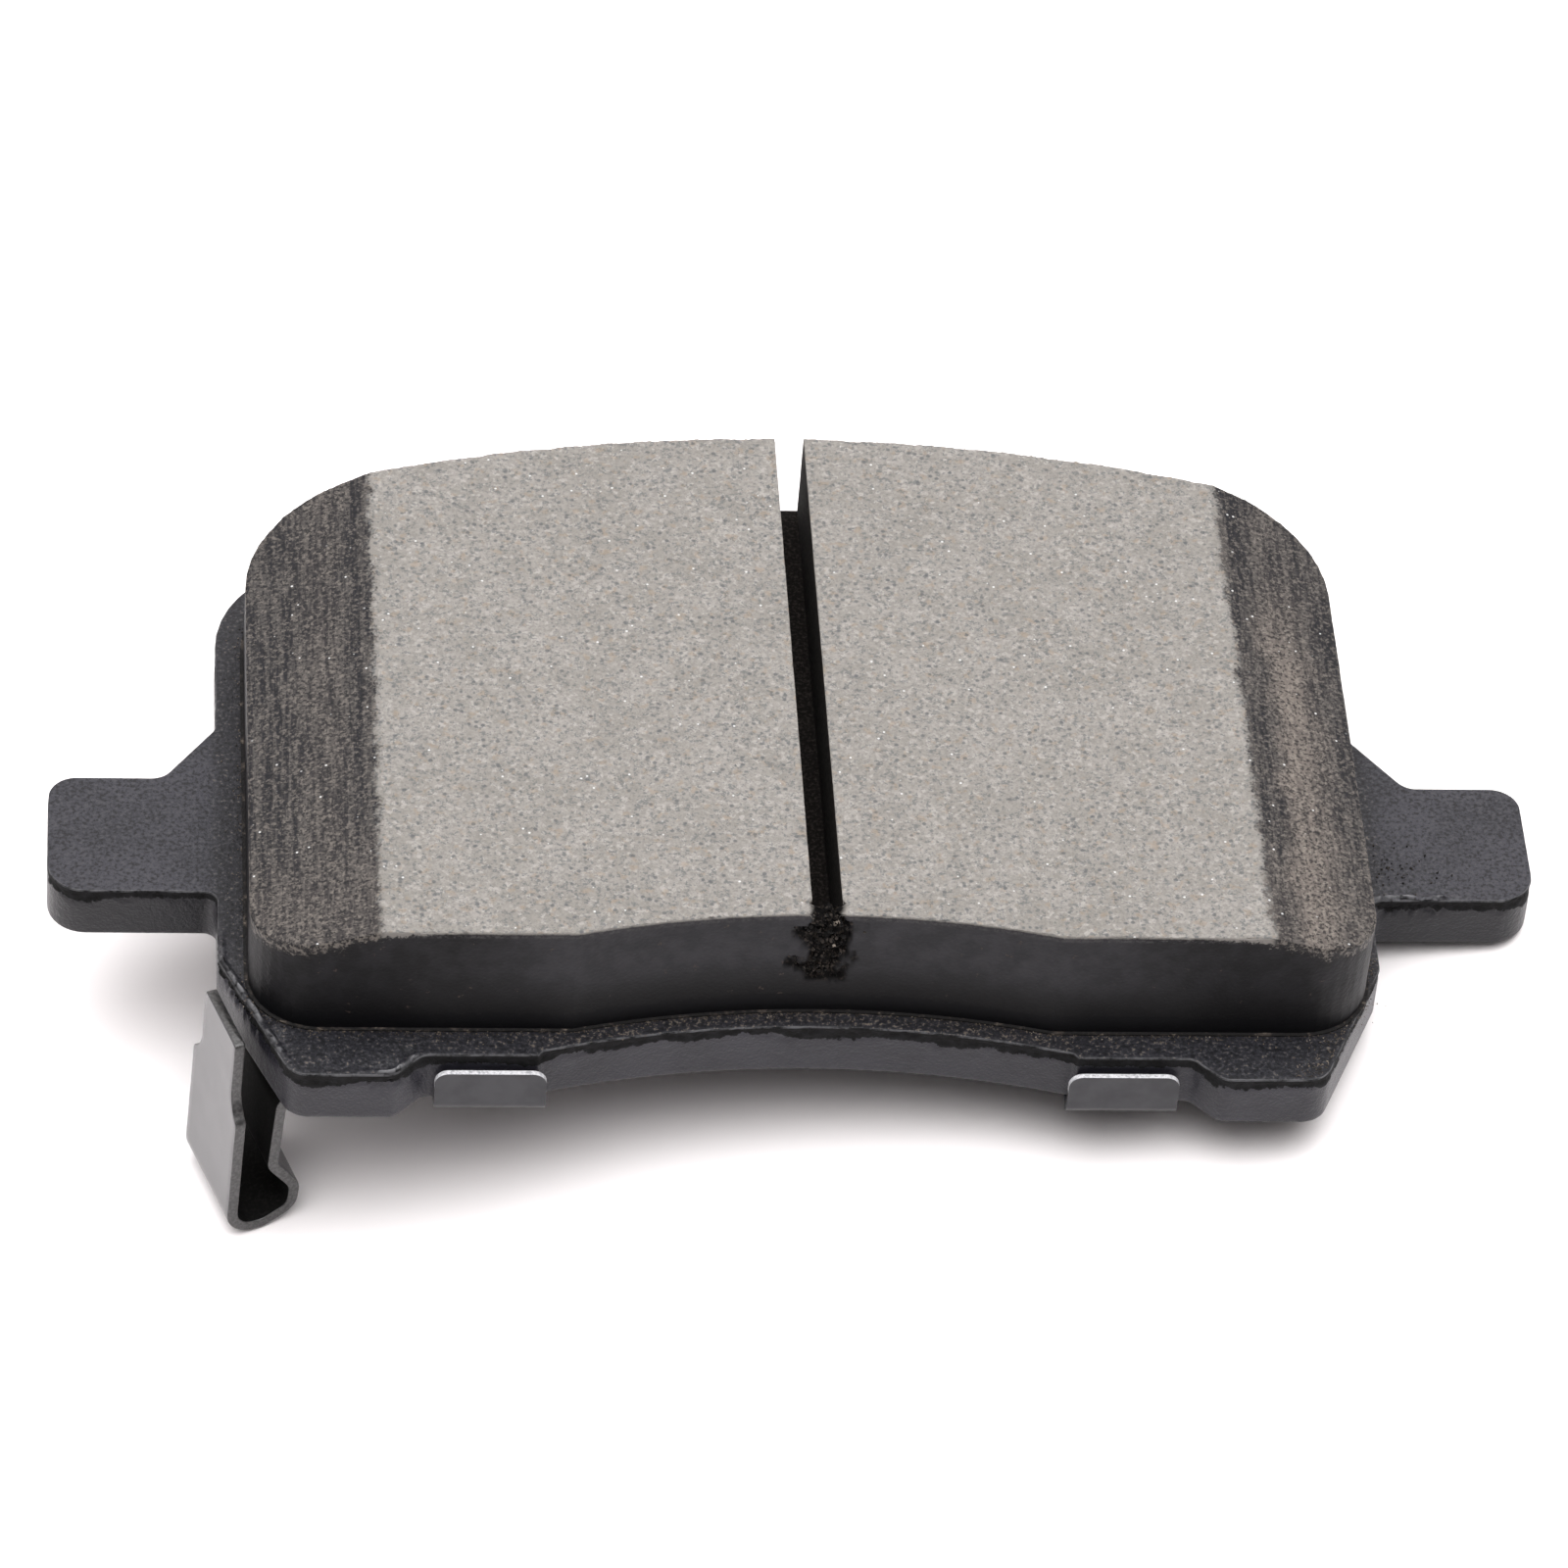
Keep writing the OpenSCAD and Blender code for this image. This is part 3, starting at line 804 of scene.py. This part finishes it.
def burr_share(points):
    """How far the rim is curled up at each point: 1 in the middle of a burr, 0 away from all."""
    share = np.zeros(len(points))
    for middle, radius, amount in BURRS:
        away = np.linalg.norm(points[:, :2] - np.array(middle), axis=1)
        share = np.maximum(share, amount * np.exp(-(away / radius) ** 4))
    return share


def rolled(distance):
    """How far the rolled upper edge falls away at a distance from it."""
    return ROLL_R - np.sqrt(np.maximum(ROLL_R**2 - np.maximum(ROLL_R - distance, 0) ** 2, 0))


def plate_wall(loop, normals):
    """(points, depth of each) of the wall: rolled edge, paint ridge, torn band, soft lower edge."""
    depths = PLATE_DEPTHS * (plate_high.z - plate_low.z) / PLATE_DEPTHS[-1]
    wall = np.vstack([np.column_stack([loop, np.full(len(loop), ROTOR_Z - d)]) for d in depths])
    depth = np.repeat(depths, len(loop))
    long_noise = field(wall * [1, 1, 0.25], 3.2, 4, 11)
    fine = field(wall, 0.5, 2, 12)

    band_at = (0.95 + 0.75 * long_noise) * MM
    band = 0.1 * MM * bell(depth, band_at, 0.22 * MM) * (0.8 + fine)
    step = 0.05 * MM / (1 + np.exp((depth - band_at) / (0.06 * MM)))
    under = np.maximum(depth - (depths[-1] - 0.18 * MM), 0)
    ridge = 0.06 * MM * bell(depth, 0.3 * MM, 0.1 * MM) * np.clip(0.3 + 2 * long_noise, 0, 1)
    torn = burr_share(wall) * bell(depth, 1.3 * MM, 0.55 * MM)
    roll = rolled(depth) + 0.3 * MM * torn * np.clip(0.7 + 1.6 * fine, 0, 1.6)
    inwards = roll + band + step + under * 0.25 - ridge - 0.008 * MM * fine + 0.02 * MM
    wall[:, :2] -= np.tile(normals, (len(depths), 1)) * inwards[:, None]
    return wall, depth


def plate_top(loop, normals):
    """(points, triangles, distance to the edge, burr) of the rotor side with its curled burrs."""
    insets = np.array([0.08, 0.18, 0.3, 0.42, 0.56, 0.75, 0.95, 1.2]) * MM
    flat, triangles = fill_face(loop, face_points(loop, insets, 1.5 * MM, SEED + 1))
    edge_distance = EdgeFinder(loop).distance(flat)
    top = np.column_stack([flat, np.full(len(flat), ROTOR_Z)])
    top_noise = field(top, 1.1, 3, 13)
    near = bell(edge_distance, 0.3 * MM, 0.25 * MM)
    curled = burr_share(top) * np.clip(0.75 + 1.5 * field(top, 1.7, 3, 14), 0, 1.6)
    burr = curled * bell(edge_distance, 0.42 * MM, 0.2 * MM)
    groove = curled * bell(edge_distance, 0.95 * MM, 0.25 * MM)
    top[:, 2] += 0.42 * MM * burr - 0.2 * MM * groove
    fall = rolled(edge_distance) * 0.5
    top[:, 2] += -0.02 * MM - fall + near * 0.035 * MM * np.clip(top_noise, -0.5, 1)
    top[: len(loop), :2] -= normals * (ROLL_R * 0.29)
    return top, triangles, edge_distance, burr


def backing_plate():
    """Blanked plate as a wall, a rotor side and an under side that share their edge points."""
    loop = even_loop(outline_of("backing_plate", ROTOR_Z), PLATE_STEP)
    normals = outward(loop)
    wall, depth = plate_wall(loop, normals)
    top, triangles, edge_distance, burr = plate_top(loop, normals)
    wall[: len(loop)] = top[: len(loop)]
    inner = face_points(loop, np.array([0.2]) * MM, 4 * MM, SEED + 2)
    bottom_flat, bottom_triangles = fill_face(loop, inner)
    bottom = np.column_stack([bottom_flat, np.full(len(bottom_flat), PLATE_UNDER_Z)])
    bottom[: len(loop)] = wall[-len(loop):]

    points = np.vstack([wall, top, bottom])
    top_at = len(wall)
    bottom_at = top_at + len(top)
    faces = wall_faces(len(loop), len(PLATE_DEPTHS))
    faces += [tuple(top_at + i for i in t) for t in triangles]
    faces += [tuple(bottom_at + i for i in reversed(t)) for t in bottom_triangles]
    obj = new_object("backing_plate_blank", points, faces)
    # The 'rim' mark carries worn paint and a painted highlight along the rolled edge; 'burr' carries
    # the burrs' painted highlight.
    rim = np.zeros(len(points))
    rim[:top_at] = bell(depth, 0.12 * MM, 0.16 * MM)
    rim[top_at:bottom_at] = np.maximum(bell(edge_distance, 0, 0.16 * MM), 0.8 * burr)
    mark(obj.data, "rim", rim)
    curl = np.zeros(len(points))
    curl[top_at:bottom_at] = np.clip(burr, 0, 1)
    mark(obj.data, "burr", curl)
    weld(obj)
    crisp(obj, 60)
    dress(obj, paint_material())
    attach(obj, "pad")
    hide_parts("backing_plate")


# ---- wear indicator strip

# corners of the loop as (inwards, height above its lowest point, radius) in mm
LOOP_CORNERS = ((2.6, 0, 2), (5.35, 1.4, 1.9), (5.55, 4, 1.9), (3.35, 7.2, 1.6))
TIP_STATIONS = (0.0, 0.03, 0.08, 0.15, 0.25, 0.4)
TIP_TAPER_L = 0.15 * MM
STRIP_COLUMNS = 14
STRIP_EDGE_R = 0.14 * MM
WIDTH_AXIS = Vector(flex["axis"]).normalized()
UP = Vector((0, 0, 1))
INWARD = UP.cross(WIDTH_AXIS)


def strip_origin():
    """On the tip's outer face, in the middle of its width, level with the plate's rotor side."""
    hinge = Vector(flex["pos_m"])
    inwards, _ = down_arm(ARM_L + 0.05 * MM)
    origin = hinge - INWARD * inwards
    origin.z = ROTOR_Z
    return origin


def down_arm(distance):
    """(inwards, up) of the middle of the strip's thickness, at a distance below the tip's end."""
    half = STRIP_T / 2
    inwards = half * math.cos(ARM_LEAN) - distance * math.sin(ARM_LEAN)
    up = TIP_TOP_Z - half * math.sin(ARM_LEAN) - distance * math.cos(ARM_LEAN)
    return inwards, up


def arc_corner(a, b, c, radius):
    """Points of a corner at b between a and c, rounded with a radius."""
    steps = 10
    a, b, c = Vector(a), Vector(b), Vector(c)
    to_a, to_c = (a - b).normalized(), (c - b).normalized()
    half = to_a.angle(to_c) / 2
    middle = b + (to_a + to_c).normalized() * radius / math.sin(half)
    first = b + to_a * radius / math.tan(half)
    last = b + to_c * radius / math.tan(half)
    start = math.atan2(first.y - middle.y, first.x - middle.x)
    end = math.atan2(last.y - middle.y, last.x - middle.x)
    turn = (end - start + 3 * math.pi) % (2 * math.pi) - math.pi
    angles = [start + turn * i / steps for i in range(steps + 1)]
    return [middle + radius * Vector((math.cos(t), math.sin(t))) for t in angles]


def strip_line():
    """Centre line of the strip from the tip's end, down the arm, round the loop and along the foot."""
    bend_z = STRIP_T / 2 - LOOP_DEPTH
    bend = down_arm((TIP_TOP_Z - bend_z) / math.cos(ARM_LEAN))
    foot_z = PLATE_UNDER_Z - STRIP_T / 2 - ROTOR_Z
    corners = [(*down_arm(0), 0), (*bend, 2 * MM)]
    corners += [(inwards * MM, bend_z + up * MM, r * MM) for inwards, up, r in LOOP_CORNERS]
    corners += [(FOOT_START, foot_z, 1.5 * MM), (FOOT_START + FOOT_L, foot_z, 0)]
    line = [Vector(corners[0][:2])]
    for before, here, after in zip(corners, corners[1:], corners[2:]):
        line += arc_corner(before[:2], here[:2], after[:2], here[2])
    line.append(Vector(corners[-1][:2]))
    return line


def evenly(line, step):
    """(distance along, point) every step along a line of points, with its first and last point."""
    lengths = [0.0]
    for a, b in zip(line, line[1:]):
        lengths.append(lengths[-1] + (b - a).length)
    total = lengths[-1]
    stations = [s * MM for s in TIP_STATIONS]
    stations += list(np.linspace(0.6 * MM, total, int(total / step)))
    xs = np.interp(stations, lengths, [p.x for p in line])
    ys = np.interp(stations, lengths, [p.y for p in line])
    return [(s, Vector((x, y))) for s, x, y in zip(stations, xs, ys)]


def half_width(distance):
    """Half of the strip's width at a distance from the tip's end."""
    if distance < TIP_CORNER_R:
        rest = TIP_CORNER_R - distance
        return TIP_HALF - TIP_CORNER_R + math.sqrt(TIP_CORNER_R**2 - rest**2)
    into_flare = distance - FLARE_START
    if into_flare <= 0:
        return TIP_HALF
    if into_flare >= FLARE_R:
        return STRIP_HALF
    return min(STRIP_HALF, TIP_HALF + FLARE_R - math.sqrt(FLARE_R**2 - into_flare**2))


def strip_section(half, thick):
    """Closed section of the strip as (across, outwards, 1 on the sheared edges)."""
    inner = half - STRIP_EDGE_R
    ring = []
    for i in range(STRIP_COLUMNS + 1):
        ring.append((-inner + 2 * inner * i / STRIP_COLUMNS, thick / 2, 0.0))
    turned = []
    for t in (math.radians(d) for d in (30, 60, 90)):
        w = inner + STRIP_EDGE_R * math.sin(t)
        turned.append((w, thick / 2 - STRIP_EDGE_R + STRIP_EDGE_R * math.cos(t), 1.0))
    ring += turned + [(half, 0.0, 1.0)]
    ring += [(w, -out, sheared) for w, out, sheared in reversed(turned)]
    return ring + [(-w, -out, sheared) for w, out, sheared in ring]


def strip_mesh(origin):
    """(object, sheared share of each point, points round the section) of the whole strip."""
    stations = evenly(strip_line(), 0.28 * MM)
    vertices, sheared = [], []
    for i, (distance, point) in enumerate(stations):
        before = stations[max(i - 1, 0)][1]
        after = stations[min(i + 1, len(stations) - 1)][1]
        along = (after - before).normalized()
        across = Vector((along.y, -along.x))
        thick = STRIP_T
        if distance < TIP_TAPER_L:
            thick = STRIP_T - 0.2 * MM * (1 - distance / TIP_TAPER_L)
        for w, out, edge in strip_section(half_width(distance), thick):
            flat = point + across * out
            vertices.append(origin + WIDTH_AXIS * w + INWARD * flat.x + UP * flat.y)
            sheared.append(max(edge, 1.0 if distance < 0.05 * MM else 0.0))
    ring = len(strip_section(STRIP_HALF, STRIP_T))
    last = (len(stations) - 1) * ring
    faces = wall_faces(ring, len(stations))
    faces.append(tuple(range(ring)))
    faces.append(tuple(last + j for j in reversed(range(ring))))
    obj = new_object("wear_indicator_strip", vertices, faces)
    work = bmesh.new()
    work.from_mesh(obj.data)
    bmesh.ops.recalc_face_normals(work, faces=work.faces)
    work.to_mesh(obj.data)
    work.free()
    return obj, np.array(sheared), ring


def wear_indicator():
    """One continuous strip: tip, sprung arm, loop and foot."""
    origin = strip_origin()
    obj, sheared, ring = strip_mesh(origin)
    mesh = obj.data
    mark(mesh, "sheared", sheared)
    shade(obj)
    co = read_vectors(mesh.vertices, "co")
    ripple = 0.02 * MM * field(co, 5, 2, 8)
    ripple += 0.012 * MM * field(co, 0.6, 2, 9) * sheared
    co += read_vectors(mesh.vertex_normals, "vector") * (ripple - 0.02 * MM)[:, None]
    mesh.vertices.foreach_set("co", co.ravel())
    mesh.update()
    dress(obj, black_steel_material("spring_strip", 0.2))
    mesh.materials.append(inner_shade_material())
    # The strip's inner faces take the near-black painted shade.
    hollow_side = range(ring // 2, ring // 2 + STRIP_COLUMNS)
    for polygon in mesh.polygons[:-2]:
        if polygon.index % ring in hollow_side:
            polygon.material_index = 1
    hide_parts("wear_indicator_arm", "wear_indicator_spring")
    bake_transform(obj)


# ---- shim

def shim_sheet():
    """Steel sheet with bent tabs, its cut edges softened."""
    obj = link("shim_steel_sheet", frame["nodes"]["shim_steel"].data.copy())
    bevel(obj, 0.05 * MM, 2)
    mark(obj.data, "sheared", np.zeros(len(obj.data.vertices)))
    shade(obj, False)
    tab_end_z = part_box("shim_steel")[1][2]
    dress(obj, black_steel_material("shim_sheet", 0.3, tab_end_z - 2 * MM, 0.28))
    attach(obj, "pad")
    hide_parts("shim_steel")


# ---- crumbs of moulding compound

FOOT_CRUMBS, SLOT_CRUMBS, CORNER_CRUMBS, EAR_CRUMBS = 1500, 420, 260, 70


def crumb(vertices, faces, centre, size, draw):
    """Adds one small irregular lump."""
    turn = Euler([draw.uniform(0, 6.28) for _ in range(3)]).to_matrix()
    stretch = Vector([draw.uniform(0.5, 1.0) for _ in range(3)])
    shape = bmesh.new()
    bmesh.ops.create_icosphere(shape, subdivisions=1, radius=size / 2)
    base = len(vertices)
    for v in shape.verts:
        local = Vector([v.co[i] * stretch[i] for i in range(3)]) * draw.uniform(0.75, 1.1)
        vertices.append(centre + turn @ local)
    for f in shape.faces:
        faces.append(tuple(base + v.index for v in f.verts))
    shape.free()


def foot_stretches():
    """(middle, outward normal, area, corners) of each face round the bond film's outer edge."""
    mesh = frame["nodes"]["bond_film"].data
    stretches = []
    for polygon in mesh.polygons:
        centre, normal = polygon.center, polygon.normal
        outer = abs(centre.x) > 46 * MM or centre.y < -26 * MM or centre.y > 25 * MM
        if abs(normal.z) < 0.1 and outer:
            corners = [mesh.vertices[i].co for i in polygon.vertices]
            stretches.append((centre.copy(), normal.copy(), polygon.area, corners))
    return stretches


def foot_crumbs(vertices, faces, draw):
    """Grains on the plate along the block's foot, thicker in the hollow inner edge."""
    stretches = foot_stretches()
    weights = [area * (2.5 if c.y < -24 * MM else 1.0) for c, _, area, _ in stretches]
    for _, normal, _, corners in draw.choices(stretches, weights, k=FOOT_CRUMBS):
        mixer = [draw.random() for _ in corners]
        spot = sum((c * m for c, m in zip(corners, mixer)), Vector()) / sum(mixer)
        reach = min(draw.expovariate(1 / (0.45 * MM)), 1.8 * MM)
        size = draw.uniform(0.09, 0.24) * MM
        spot = spot + normal * reach
        spot.y = min(spot.y, plate_high.y - 1 * MM)
        spot.z = ROTOR_Z + 0.2 * size
        crumb(vertices, faces, spot, size, draw)


def slot_crumbs(vertices, faces, draw):
    """Grains that hang in the torn end of the slot."""
    for _ in range(SLOT_CRUMBS):
        down = draw.uniform(0, 1)
        spread = 0.75 + 1.0 * math.sin(math.pi * min(1, down + 0.1))
        spot = Vector((
            GROUND_X + (draw.gauss(0, spread) - 0.5 * down) * MM,
            BOW_Y + draw.uniform(0.0, 0.5) * MM,
            FACE_Z - (0.35 + 7.3 * down) * MM,
        ))
        size = draw.choice((0.15, 0.25, 0.5)) * draw.uniform(0.8, 1.2) * MM
        crumb(vertices, faces, spot, size, draw)


def right_end_crumbs(vertices, faces, draw):
    """Grains at the plate's right corner and on the right ear."""
    rim = even_loop(outline_of("backing_plate", ROTOR_Z), 0.2 * MM)
    out = outward(rim)
    corner = [i for i, p in enumerate(rim) if p[0] > 44 * MM and p[1] < -19 * MM]
    for i in draw.choices(corner, k=CORNER_CRUMBS):
        inwards = 0.45 * MM + draw.expovariate(1 / (0.7 * MM))
        spot = Vector((*(rim[i] - out[i] * inwards), ROTOR_Z - 0.02 * MM))
        crumb(vertices, faces, spot, draw.uniform(0.12, 0.34) * MM, draw)
    for _ in range(EAR_CRUMBS):
        x = BLOCK_X + EAR_X + (0.5 + draw.expovariate(0.5)) * MM
        spot = Vector((x, draw.gauss(-9, 1.6) * MM, ROTOR_Z + 0.02 * MM))
        crumb(vertices, faces, spot, draw.uniform(0.12, 0.36) * MM, draw)


def moulding_crumbs():
    """Loose grains of moulding compound, all in one mesh."""
    draw = random.Random(SEED)
    vertices, faces = [], []
    foot_crumbs(vertices, faces, draw)
    slot_crumbs(vertices, faces, draw)
    right_end_crumbs(vertices, faces, draw)
    obj = new_object("moulding_crumbs", vertices, faces)
    dress(obj, crumb_material())
    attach(obj, "pad")


# ---- floor, light, camera

REST_UP = Vector((-0.1261, -0.0607, 0.9902)).normalized()
REST_TURN = UP.rotation_difference(REST_UP).to_matrix()


def floor():
    """Pale floor under the pad, which rests on its loop, one ear and the shim's far corner."""
    lowest = min(REST_UP.dot(v.co) for node in frame["nodes"].values() for v in node.data.vertices)
    half = 1.5
    corners = [REST_TURN @ Vector((x, y, 0)) + REST_UP * lowest
               for x, y in ((-half, -half), (half, -half), (half, half), (-half, half))]
    obj = new_object("floor", corners, [(0, 1, 2, 3)])
    s = Shader("floor_paper", Roughness=0.9, Specular_IOR_Level=0.1)
    dress(obj, s.finish(s.mix(s.noise(200), (0.94, 0.91, 0.915), (0.95, 0.92, 0.925))))


def backdrop():
    """White wall of the tent round the floor. Only the camera sees it: the sky does the lighting."""
    steps, radius = 96, 1.45
    points = []
    for height in (-0.3, 2.5):
        for i in range(steps):
            angle = 2 * math.pi * i / steps
            spot = Vector((radius * math.cos(angle), radius * math.sin(angle), height))
            points.append(REST_TURN @ spot)
    obj = new_object("backdrop", points, wall_faces(steps, 2))
    glow = Shader("tent_wall", Base_Color=(0, 0, 0), Specular_IOR_Level=0,
                  Emission_Color=(1, 1, 1), Emission_Strength=1.05)
    dress(obj, glow.material)
    obj.visible_diffuse = False
    obj.visible_glossy = False
    obj.visible_transmission = False
    obj.visible_shadow = False


def towards(azimuth, elevation):
    """Unit vector out from the pad. Azimuth 0 is the -Y side and 90 degrees the -X side."""
    return Vector((
        -math.sin(azimuth) * math.cos(elevation),
        -math.cos(azimuth) * math.cos(elevation),
        math.sin(elevation),
    ))


def softbox():
    """A square softbox to the left of the pad that faces it."""
    spot = 0.8 * towards(math.radians(105), math.radians(30))
    data = bpy.data.lights.new("softbox_left", "AREA")
    data.size = 0.5
    data.energy = 1.0
    obj = link("softbox_left", data)
    obj.location = spot
    obj.rotation_euler = (-spot).to_track_quat("-Z", "Y").to_euler()


class Sky(Nodes):
    """World whose strength is a sum of smooth steps over the direction of view."""

    def __init__(self, name):
        world = bpy.data.worlds.new(name)
        bpy.context.scene.world = world
        world.use_nodes = True
        super().__init__(world.node_tree)
        self.direction = self.add("TexCoord").outputs["Generated"]

    def along(self, axis):
        """Cosine of the angle between the direction and an axis."""
        inputs = {0: self.direction, 1: Vector(axis).normalized()}
        return self.add("VectorMath", inputs, operation="DOT_PRODUCT").outputs["Value"]

    def finish(self, base, steps, low_color, high_color):
        strength = base
        for value in steps:
            strength = self.plus(value, strength)
        background = self.tree.nodes["Background"]
        self.put(background.inputs["Strength"], strength)
        color = self.mix(self.along((0, 0, 1)), low_color, high_color)
        self.put(background.inputs["Color"], color)


def surroundings():
    """A white tent: a strong light overhead, a paler back wall, little from low in front."""
    sky = Sky("tent")
    overhead = sky.step(sky.along((0, -0.15, 0.99)), 0.73, 0.95, 0.0, 5.5)
    back_wall = sky.step(sky.along((0, 1, 0)), 0.0, 0.6, 0.0, 1.1)
    sky.finish(0.09, (overhead, back_wall), (1, 0.9, 0.88), (1, 1, 1))
    softbox()
    bpy.context.scene.view_settings.view_transform = "Standard"
    bpy.context.scene.view_settings.look = "None"


def camera():
    """Camera over the notched inner edge, a little to the left, rolled about 5 degrees."""
    azimuth, elevation, roll = (math.radians(d) for d in (6.82, 44.0, 5.24))
    aim, distance = Vector((0.4 * MM, 8.5 * MM, 0)), 0.785
    forward = -towards(azimuth, elevation)
    level_right = Vector((math.cos(azimuth), -math.sin(azimuth), 0))
    level_up = level_right.cross(forward)
    right = math.cos(roll) * level_right + math.sin(roll) * level_up
    up = right.cross(forward)
    data = bpy.data.cameras.new("camera")
    data.sensor_width = 36
    data.lens = 191.25
    data.clip_start = 0.01
    obj = link("camera", data)
    turn = Matrix((right, up, -forward)).transposed().to_4x4()
    obj.matrix_world = Matrix.Translation(aim - distance * forward) @ turn
    bpy.context.scene.camera = obj


# ---- build

camera()
surroundings()
floor()
backdrop()
friction_block()
backing_plate()
wear_indicator()
shim_sheet()
moulding_crumbs()
dress_node("underlayer", skin_material())
dress_node("bond_film", bond_material())
dress_node("shim_adhesive", rubber_material("shim_glue", (0.42, 0.38, 0.27), (0.5, 0.46, 0.33)))
dress_node("shim_inner_rubber",
           rubber_material("shim_inner_coat", (0.02, 0.02, 0.022), (0.035, 0.035, 0.037)))
dress_node("shim_outer_rubber",
           rubber_material("shim_outer_coat", (0.022, 0.022, 0.025), (0.042, 0.042, 0.045)))
dress_node("wear_indicator_rivet", black_steel_material("rivet_head", 0.35))
